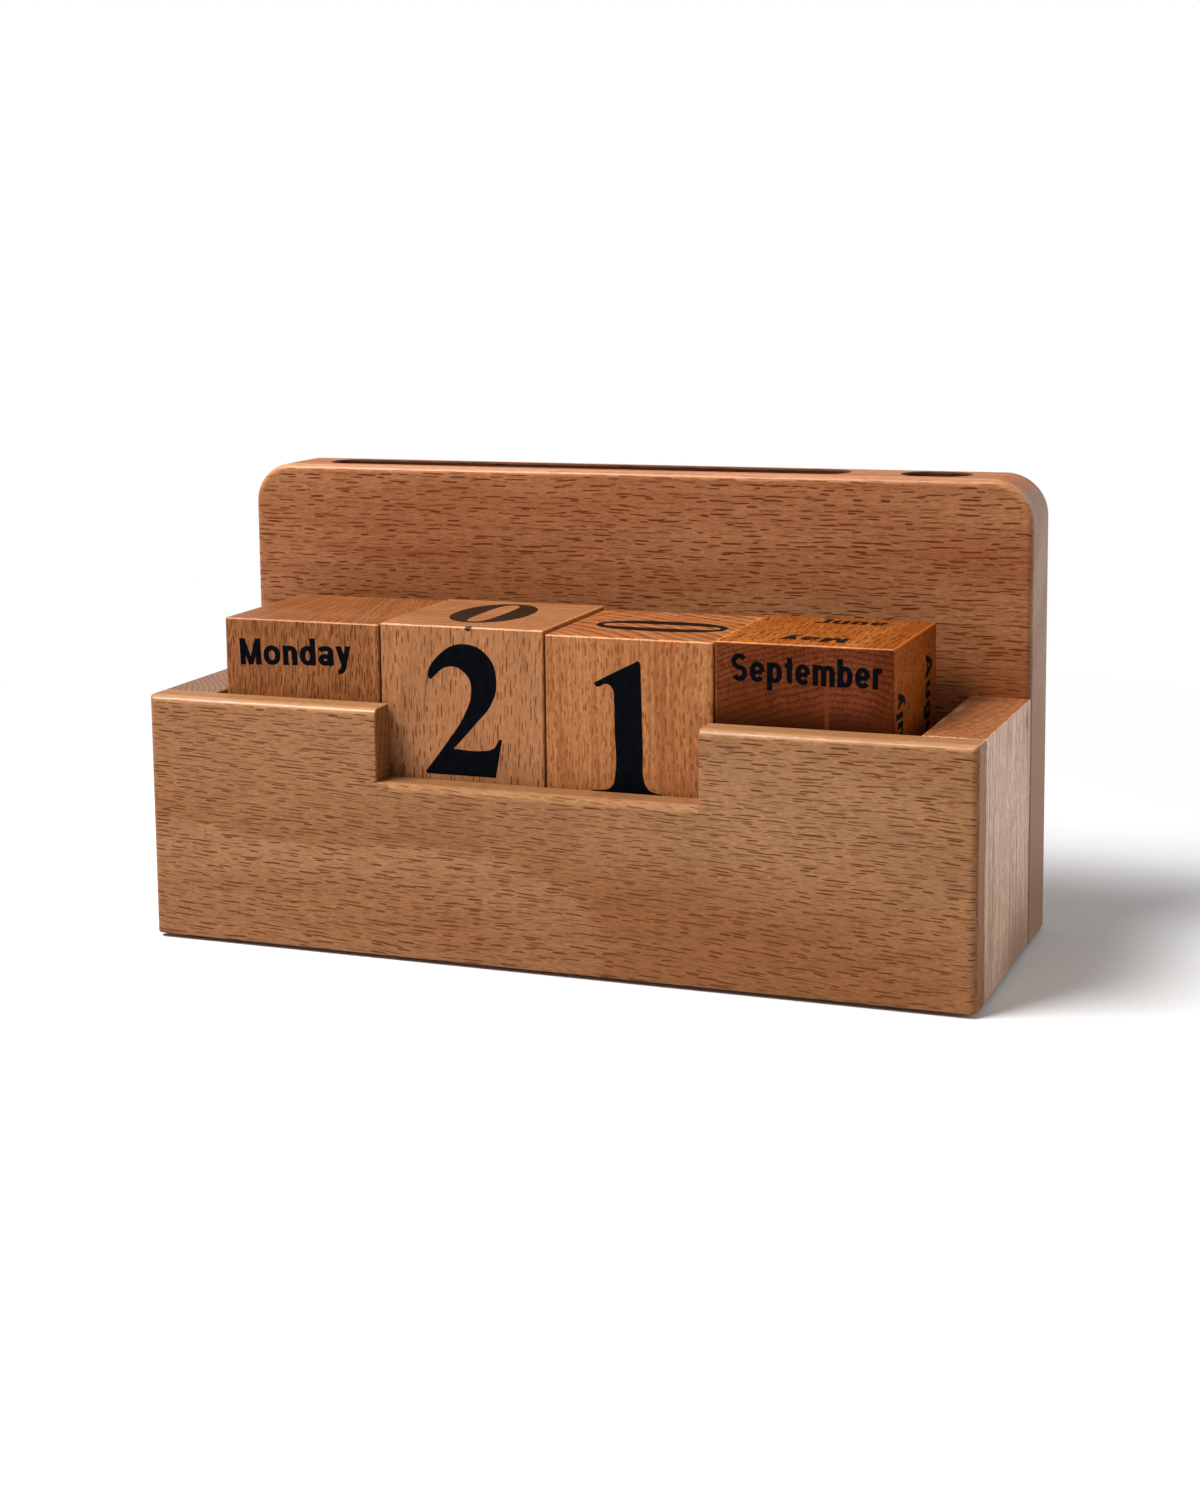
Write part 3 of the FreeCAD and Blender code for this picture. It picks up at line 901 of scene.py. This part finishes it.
def alphabet(w, h):
    # w is an upright stroke's thickness and h a level one's; a stroke is its kind, its line and its thickness
    x, tail = letterValues["smallTop"], letterValues["tail"]
    a, b = w / 2, h / 2

    def slant(x0, y0, x1, y1, share=1.0):
        return "cut", [(x0, y0), (x1, y1)], w * share * math.hypot(x1 - x0, y1 - y0) / abs(y1 - y0)

    def stem(at, low, high):
        return slant(at, low, at, high)

    def line(*points):
        return "open", list(points), w

    def turn(x0, x1, y0, y1, start, end):
        # the middle line of a bend that fills a box
        return bend((x0 + x1) / 2, (y0 + y1) / 2, (x1 - x0) / 2 - a, (y1 - y0) / 2 - b, start, end)

    def oval(x0, x1, y0, y1):
        return "ring", turn(x0, x1, y0, y1, 0, 360), w

    def arch(x0, x1):
        return line(*turn(x0, x1, x - 0.6, x, 180, 0), (x1 - a, 0))

    def snake(wide, tall):
        # the letter s, as two bowls
        bowl = (tall / 2 - b) / 2
        upper = bend(wide / 2, tall / 2 + bowl, wide / 2 - a, bowl, 28, 270, 2.0)
        lower = bend(wide / 2, tall / 2 - bowl, wide / 2 - a, bowl, 90, -152, 2.0)
        return line(*upper, *lower[1:])

    return {
        "a": (0.62, [oval(0, 0.58, 0, 0.44), line(
            *bend(0.295, x - 0.22, 0.275 - a / 2, 0.22 - b, 165, 0),
            (0.57 - a / 2, 0.16), (0.585 - a / 2, 0.06), (0.62 - a / 2, 0.0))]),
        "b": (0.66, [oval(0.02, 0.66, 0, x), stem(a, 0, 1)]),
        "c": (0.60, [line(*turn(0, 0.64, 0, x, 45, 315))]),
        "d": (0.66, [oval(0, 0.64, 0, x), stem(0.66 - a, 0, 1.02)]),
        "e": (0.65, [line((a, x / 2 - 0.01), (0.65 - a, x / 2 - 0.01)), line(*turn(0, 0.65, 0, x, 0, 322))]),
        "g": (0.66, [oval(0, 0.64, 0, x), stem(0.66 - a, 0, x),
                     line((0.66 - a, 0.1), *turn(0, 0.66, -0.27, 0.27, 0, -155))]),
        "h": (0.61, [stem(a, 0, 1), arch(0, 0.61)]),
        "i": (w, [stem(a, 0, x), stem(a, 0.87, 1)]),
        "l": (w, [stem(a, 0, 1)]),
        "m": (0.96, [stem(a, 0, x), arch(0, 0.48 + a), arch(0.48 - a, 0.96)]),
        "n": (0.60, [stem(a, 0, x), arch(0, 0.60)]),
        "o": (0.71, [oval(0, 0.71, 0, x)]),
        "p": (0.66, [oval(0.02, 0.66, 0, x), stem(a, tail, x)]),
        "r": (0.39, [stem(a, 0, x), line(*turn(0, 0.72, x - 0.6, x, 180, 82))]),
        "s": (0.56, [snake(0.56, x)]),
        "t": (0.37, [line((0.10 + a, 0.93), (0.10 + a, 0.2), *turn(0.10, 0.58, 0, 0.4, 190, 262)),
                     line((0.0, x - b), (0.36, x - b))]),
        "u": (0.61, [stem(0.61 - a, 0, x), line((a, x), *turn(0, 0.61, 0, 0.6, 180, 360))]),
        "v": (0.62, [slant(a, x, 0.31, 0), slant(0.62 - a, x, 0.31, 0)]),
        "y": (0.62, [slant(a, x, 0.33, 0), slant(0.62 - a, x, 0.31, 0, 0.95), line(
            (0.335, 0.08), (0.30, -0.04), (0.25, -0.15), (0.18, tail + 0.06), (0.06, tail + 0.05))]),
        "A": (0.92, [slant(a, 0, 0.46, 1), slant(0.92 - a, 0, 0.46, 1), line((0.22, 0.28), (0.70, 0.28))]),
        "D": (0.84, [stem(a, 0, 1), line((a, b), (0.30, b), *turn(-0.08, 0.84, 0, 1, -90, 90),
                                         (0.30, 1 - b), (a, 1 - b))]),
        "F": (0.66, [stem(a, 0, 1), line((a, 1 - b), (0.66, 1 - b)), line((a, 0.53), (0.6, 0.53))]),
        "J": (0.58, [line((0.58 - a, 1), (0.58 - a, 0.3), *turn(0, 0.58, 0, 0.56, 0, -172))]),
        "M": (0.88, [stem(a, 0, 1), stem(0.88 - a, 0, 1), slant(a * 1.1, 1, 0.44, 0, 0.85),
                     slant(0.88 - a * 1.1, 1, 0.44, 0, 0.85)]),
        "N": (0.82, [stem(a, 0, 1), stem(0.82 - a, 0, 1), slant(a * 1.1, 1, 0.82 - a * 1.1, 0, 0.9)]),
        "O": (0.98, [oval(0, 0.98, 0, 1)]),
        "S": (0.72, [snake(0.72, 1.0)]),
        "T": (0.76, [line((0, 1 - b), (0.76, 1 - b)), stem(0.38, 0, 1)]),
        "W": (1.24, [slant(a, 1, 0.34, 0), slant(0.34, 0, 0.62, 1), slant(0.62, 1, 0.90, 0),
                     slant(0.90, 0, 1.24 - a, 1)]),
    }


def strokePrism(kind, points, wide, level, stretch, depth):
    # one stroke as a closed slab; level is a level stroke's thickness and stretch sizes x and y
    bm = bmesh.new()
    rings = []
    for i, point in enumerate(points):
        before = points[i - 1] if i else points[-2] if kind == "ring" else point
        after = points[i + 1] if i + 1 < len(points) else points[1] if kind == "ring" else point
        run = (Vector(after) - Vector(before)).normalized()
        half = wide / 2 if kind == "cut" else math.hypot(wide * run.y, level * run.x) / 2
        side = Vector((half, 0)) if kind == "cut" else Vector((-run.y, run.x)) * half
        one, other = Vector(point) + side, Vector(point) - side
        corners = ((one, depth[0]), (other, depth[0]), (other, depth[1]), (one, depth[1]))
        rings.append([bm.verts.new((e.x * stretch[0], e.y * stretch[1], z)) for e, z in corners])
    if kind == "ring":
        rings[-1] = rings[0]
    joinRings(bm, rings, kind != "ring")
    bmesh.ops.delete(bm, geom=[v for v in bm.verts if not v.link_faces], context="VERTS")
    bmesh.ops.triangulate(bm, faces=bm.faces)
    return objectFrom("stroke", bm)


def wordFilm(text, v):
    # the word's strokes made one, its middle at x 0 and its foot at y 0
    stretch = (v["cap"] * v["narrow"], v["cap"])
    letters = alphabet(v["upright"] / stretch[0], v["level"] / stretch[1])
    depth = (-inkValues["sunk"], inkValues["film"])
    level = v["level"] / stretch[1]
    at = 0.0
    strokes = []
    for letter in text:
        width, shapes = letters[letter]
        for kind, points, wide in shapes:
            strokes.append(strokePrism(kind, [(x + at, y) for x, y in points], wide, level, stretch, depth))
        at += width + letterValues["gap"]
    word, rest = strokes[0], strokes[1:]
    for stroke in rest:
        union = word.modifiers.new("union", "BOOLEAN")
        union.operation = "UNION"
        union.solver = "MANIFOLD"
        union.object = stroke
    settle(word)
    made = word.data
    for used in strokes:
        bpy.data.objects.remove(used)
    made.transform(Matrix.Translation(((letterValues["gap"] - at) / 2 * stretch[0], 0, 0)))
    return made


def onFace(mesh, low, high, facing, upward, across, above):
    # lays a film on one face of a cube, its origin moved from the face's middle by across and above
    facing, upward = Vector(facing), Vector(upward)
    right = upward.cross(facing)
    middle = (low + high) / 2
    half = (high - low) / 2
    surface = middle + Vector([facing[i] * half[i] for i in range(3)])
    turn = Matrix((right, upward, facing)).transposed().to_4x4()
    place = Matrix.Translation(surface + right * across + upward * above)
    mesh.transform(Matrix.Scale(mm, 4) @ place @ turn)
    return mesh


def joinFilms(name, meshes):
    bm = bmesh.new()
    for mesh in meshes:
        bm.from_mesh(mesh)
        bpy.data.meshes.remove(mesh)
    made = bpy.data.meshes.new(name)
    bm.to_mesh(made)
    bm.free()
    return addObject(name, made)


front, rear, left, right, top, under = (0, -1, 0), (0, 1, 0), (-1, 0, 0), (1, 0, 0), (0, 0, 1), (0, 0, -1)
numberFaces = {
    # number, face, which way its head points, and how far the print strays from the middle
    "tens_cube": [(2, front, top, 0.3, 1.0), (0, top, rear, -0.55, 1.2), (3, right, top, 0.2, -0.3),
                  (1, left, top, -0.4, 0.2), (4, rear, top, 0.3, 0.4), (5, under, rear, 0, 0)],
    "units_cube": [(1, front, top, -0.5, -0.6), ("0 narrow", top, left, -1.4, -1.7),
                   (2, right, top, 0.3, 0.2), (6, left, top, 0, -0.4), (7, rear, top, -0.3, 0.3),
                   (8, under, rear, 0, 0)],
}
wordFaces = {
    # word, face, which way its head points, shift along the line, gap above it, lean in degrees,
    # and how much wider it is
    "weekday_cube": [
        ("Monday", front, top, -1.6, 4.4, 2.0), ("Tuesday", front, under, 0.5, 4.6, -0.4),
        ("Wednesday", right, top, 0.3, 4.4, 0.3), ("Thursday", right, under, -0.4, 4.6, 0.5),
        ("Friday", rear, top, 0.6, 4.5, -0.5), ("Saturday", rear, under, -0.3, 4.4, 0.4),
        ("Sunday", left, top, 0.4, 4.5, 0.2)],
    "month_cube": [
        ("September", front, top, 0.5, 2.6, -0.4), ("October", front, under, 0.4, 2.7, 0.5),
        ("June", top, rear, 1.9, 2.7, 0.6, 1.15), ("May", top, front, 0.0, 5.2, -0.8, 1.2),
        ("August", right, rear, -1.0, 4.3, 0.5, 1.15), ("July", right, front, 2.6, 2.0, -0.5, 1.15),
        ("February", left, top, 0.3, 2.7, 0.3), ("January", left, under, -0.5, 2.8, -0.4),
        ("April", rear, top, -0.4, 2.6, 0.4), ("March", rear, under, 0.3, 2.8, 0.6),
        ("December", under, rear, 0.2, 2.7, -0.3), ("November", under, front, -0.3, 2.8, 0.3)],
}
wordStyle = {
    "weekday_cube": {"cap": 6.3, "narrow": 1.01, "upright": 1.44, "level": 1.16, "widest": 34.0},
    "month_cube": {"cap": 6.2, "narrow": 0.88, "upright": 1.27, "level": 1.05, "widest": 34.0},
}


def printNumbers(node):
    low, high = boxOf(node)
    return [onFace(numberFilm(n), low, high, face, head, across, above)
            for n, face, head, across, above in numberFaces[node]]


def printWords(node):
    low, high = boxOf(node)
    style = wordStyle[node]
    half = (high.z - low.z) / 2
    films = []
    for word, face, head, across, gap, lean, *wider in wordFaces[node]:
        film = wordFilm(word, style)
        wide = max(v.co.x for v in film.vertices) * 2
        film.transform(Matrix.Diagonal((min(sum(wider) or 1.0, style["widest"] / wide), 1, 1, 1)))
        film.transform(Matrix.Rotation(math.radians(lean), 4, "Z"))
        films.append(onFace(film, low, high, face, head, across, half - gap - style["cap"]))
    return films


for node in bodyOf:
    films = printWords(node) if node in wordFaces else printNumbers(node)
    name = node.replace("cube", "print")
    piece = joinFilms(name, films)
    ink = makeInk(name + "_ink", inkValues, inkValues["wornAndLitTop"].get(node, inkValues["wornAndLitTopElse"]))
    give(piece, ink, bodyFor(node), slotOf[node])
    print("print", name, len(piece.data.polygons))


# pegs, stop pins and felt pads: one tree makes them all

rearPeg = {"diameter": 6.0, "axis": "y", "flutes": 18, "flute": 0.16, "chamfer": 0.7}
drawerPeg = {"diameter": 3.0, "axis": "y", "flutes": 12, "flute": 0.1, "chamfer": 0.4}
pegKinds = {
    "rear_dowels_left": rearPeg, "rear_dowels_right": rearPeg,
    "drawer_dowels_left": drawerPeg, "drawer_dowels_right": drawerPeg,
    "stop_pins": {"diameter": 4.0, "axis": "z", "flutes": 0, "flute": 0.0, "chamfer": 0.4},
    "felt_pads": {"diameter": 10.0, "axis": "z", "flutes": 0, "flute": 0.0, "chamfer": 0.25},
}
pegSides, pegRings = 72, 12


def makePegTree():
    group = bpy.data.node_groups.new("pegs", "GeometryNodeTree")
    kinds = {"Geometry": "Geometry", "Diameter": "Float", "Length": "Float", "Chamfer": "Float",
             "Flutes": "Float", "Flute Depth": "Float", "Turn": "Vector", "Material": "Material"}
    inputs = {}
    for name, kind in kinds.items():
        made = group.interface.new_socket(name=name, in_out="INPUT", socket_type="NodeSocket" + kind)
        inputs[name] = made.identifier
    group.interface.new_socket(name="Geometry", in_out="OUTPUT", socket_type="NodeSocketGeometry")
    t = Graph(group)
    start = t.node("NodeGroupInput")
    points, diameter, rodLength, chamfer, flutes, fluteDepth, turned, material = (start.out(n) for n in kinds)
    radius = diameter * 0.5
    rod = t.node("GeometryNodeMeshCylinder", {"fill_type": "NGON"}, {
        "Vertices": pegSides, "Side Segments": pegRings, "Radius": radius, "Depth": rodLength})
    # the rings are drawn towards the ends, where the chamfer is, and pulled in there
    x, y, z = t.split(t.node("GeometryNodeInputPosition"))
    half = rodLength * 0.5
    share = z / half
    inside = 1.0 - t.math("ABSOLUTE", share)                         # 0 at an end, 1 at the middle
    angle = t.math("MINIMUM", inside * 2.0, 1.0) * (math.pi / 2)     # half of the rings go to the chamfers
    inward = chamfer * (1.0 - t.math("SINE", angle))
    fromEnd = chamfer * (1.0 - t.math("COSINE", angle))
    fromEnd = fromEnd + t.math("MAXIMUM", inside - 0.5, 0.0) * 2.0 * (half - chamfer)
    newZ = t.math("SIGN", share) * (half - fromEnd)
    turn = t.math("ARCTAN2", y, x)
    wave = (t.math("COSINE", turn * flutes) + 1.0) * 0.5
    newRadius = radius - inward - (1.0 - wave) * fluteDepth
    spot = t.vector(t.math("COSINE", turn) * newRadius, t.math("SINE", turn) * newRadius, newZ)
    shaped = t.node("GeometryNodeSetPosition", None, {"Geometry": rod, "Position": spot})
    many = t.node("GeometryNodeInstanceOnPoints", None, {
        "Points": points, "Instance": shaped, "Rotation": turned})
    real = t.node("GeometryNodeRealizeInstances", None, {"Geometry": many})
    dressed = t.node("GeometryNodeSetMaterial", None, {"Geometry": real, "Material": material})
    t.node("NodeGroupOutput", None, {"Geometry": dressed})
    return group, inputs


feltValues = {
    "dark": (0.055, 0.038, 0.028), "light": (0.17, 0.13, 0.10), "hairs": 3.2,       # to a millimetre
    "rough": 0.95, "sheen": 0.1, "bump": 0.9, "bumpDepth": 0.2,
}


def makeFelt(name, v):
    g = newGraph(name)
    hair = g.noise(pieceMillimetres(g), 4.0, 0.75, scale=v["hairs"])
    shade = g.mix(g.ease(hair, 0.3, 0.7), colour(*v["dark"]), colour(*v["light"]))
    return g.finishSkin(shade, v["rough"], v["sheen"], hair, v["bump"], v["bumpDepth"])


def pegSpots(node, v):
    # the pegs' middles: two above each other, or a pair or four standing upright
    low, high = boxOf(node)
    r = v["diameter"] / 2
    middle = (low + high) / 2
    if v["axis"] == "y":
        return [(middle.x, middle.y, z) for z in (low.z + r, high.z - r)]
    ys = (low.y + r, high.y - r) if high.y - low.y > 3 * r else (middle.y,)
    return [(x, y, middle.z) for x in (low.x + r, high.x - r) for y in ys]


def makePegs(group, inputs, node, v, material):
    low, high = boxOf(node)
    lying = v["axis"] == "y"
    mesh = bpy.data.meshes.new(node + "_spots")
    mesh.from_pydata([Vector(p) * mm for p in pegSpots(node, v)], [], [])
    made = addObject(node + "_turned", mesh)
    modifier = made.modifiers.new("pegs", "NODES")
    modifier.node_group = group
    settings = {"Diameter": v["diameter"] * mm, "Length": (high.y - low.y if lying else high.z - low.z) * mm,
                "Chamfer": v["chamfer"] * mm, "Flutes": float(v["flutes"]), "Flute Depth": v["flute"] * mm,
                "Turn": (math.pi / 2 if lying else 0, 0, 0), "Material": material}
    for name, value in settings.items():
        modifier[inputs[name]] = value
    settle(made)
    made.data.shade_smooth()
    made.data.set_sharp_from_angle(angle=math.radians(sharpFrom))
    return made


pegGroup, pegInputs = makePegTree()
pegWood = makeBeech("peg_beech", Vector((0, 0, 0)), Vector((0, 0, 0)), along=(0, 1, 0), outward=(1, 0, 0),
                    pith=95, pale=(0.52, 0.28, 0.12), deep=(0.42, 0.20, 0.08), seed=15)
padFelt = makeFelt("pad_felt", feltValues)
for node, values in pegKinds.items():
    isPad = node == "felt_pads"
    piece = makePegs(pegGroup, pegInputs, node, values, padFelt if isPad else pegWood)
    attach(piece, bodyFor(node))
    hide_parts(node)
    print("turned", node, len(piece.data.polygons))


# floor and light

stageValues = {"size": 4000.0, "tone": 0.86, "whiteNear": 150.0, "whiteFar": 420.0, "world": 0.25}
lampValues = {
    "key": {"place": (-480, -520, 1000), "target": (0, 0, 40), "size": (620, 460), "power": 19.8,
            "mirrored": True},
    "side": {"place": (620, 900, 200), "target": (90, 0, 40), "size": (700, 400), "power": 6.5,
             "mirrored": False},
}


def seenShare(g):
    # 1 to the camera, in a mirror and through glass, and 0 to the light that falls on the pieces
    path = g.node("ShaderNodeLightPath", None, None, "Is Camera Ray")
    seen = g.math("MAXIMUM", path, path.out("Is Glossy Ray"))
    return g.math("MAXIMUM", seen, path.out("Is Transmission Ray"))


def makeFloor(v):
    half = v["size"] / 2
    floor = prism("floor", [(-half, -half), (half, -half), (half, half), (-half, half)], -20, 0, "z")
    g = newGraph("floor_paper")
    away = g.vectorMath("LENGTH", g.coordinate("Object"), out="Value")
    far = g.ease(away, v["whiteNear"] * mm, v["whiteFar"] * mm)
    paper = g.node("ShaderNodeBsdfDiffuse", None, {"Color": colour(v["tone"], v["tone"], v["tone"])})
    white = g.node("ShaderNodeEmission", None, {"Color": colour(1, 1, 1), "Strength": 1.0})
    shown = g.node("ShaderNodeMixShader", None, {0: far * seenShare(g), 1: paper, 2: white})
    floor.data.materials.append(g.finish(shown))


def makeWorld(strength):
    g = Graph(bpy.data.worlds.new("studio"))
    level = g.node("ShaderNodeMapRange", None, {"Value": seenShare(g), "To Min": strength, "To Max": 1.0})
    background = g.node("ShaderNodeBackground", None, {"Color": colour(1, 1, 1), "Strength": level})
    scene.world = g.finish(background, "World")


def addSoftbox(name, v):
    data = bpy.data.lights.new(name, "AREA")
    data.shape = "RECTANGLE"
    data.size, data.size_y = (s * mm for s in v["size"])
    data.energy = v["power"]
    lamp = bpy.data.objects.new(name, data)
    direction = Vector(v["target"]) - Vector(v["place"])
    lamp.rotation_euler = direction.to_track_quat("-Z", "Y").to_euler()
    lamp.location = Vector(v["place"]) * mm
    lamp.visible_camera = False
    lamp.visible_glossy = v["mirrored"]
    scene.collection.objects.link(lamp)


makeFloor(stageValues)
makeWorld(stageValues["world"])
for name, values in lampValues.items():
    addSoftbox(name, values)
scene.view_settings.view_transform = "Standard"
print("floor and light set")
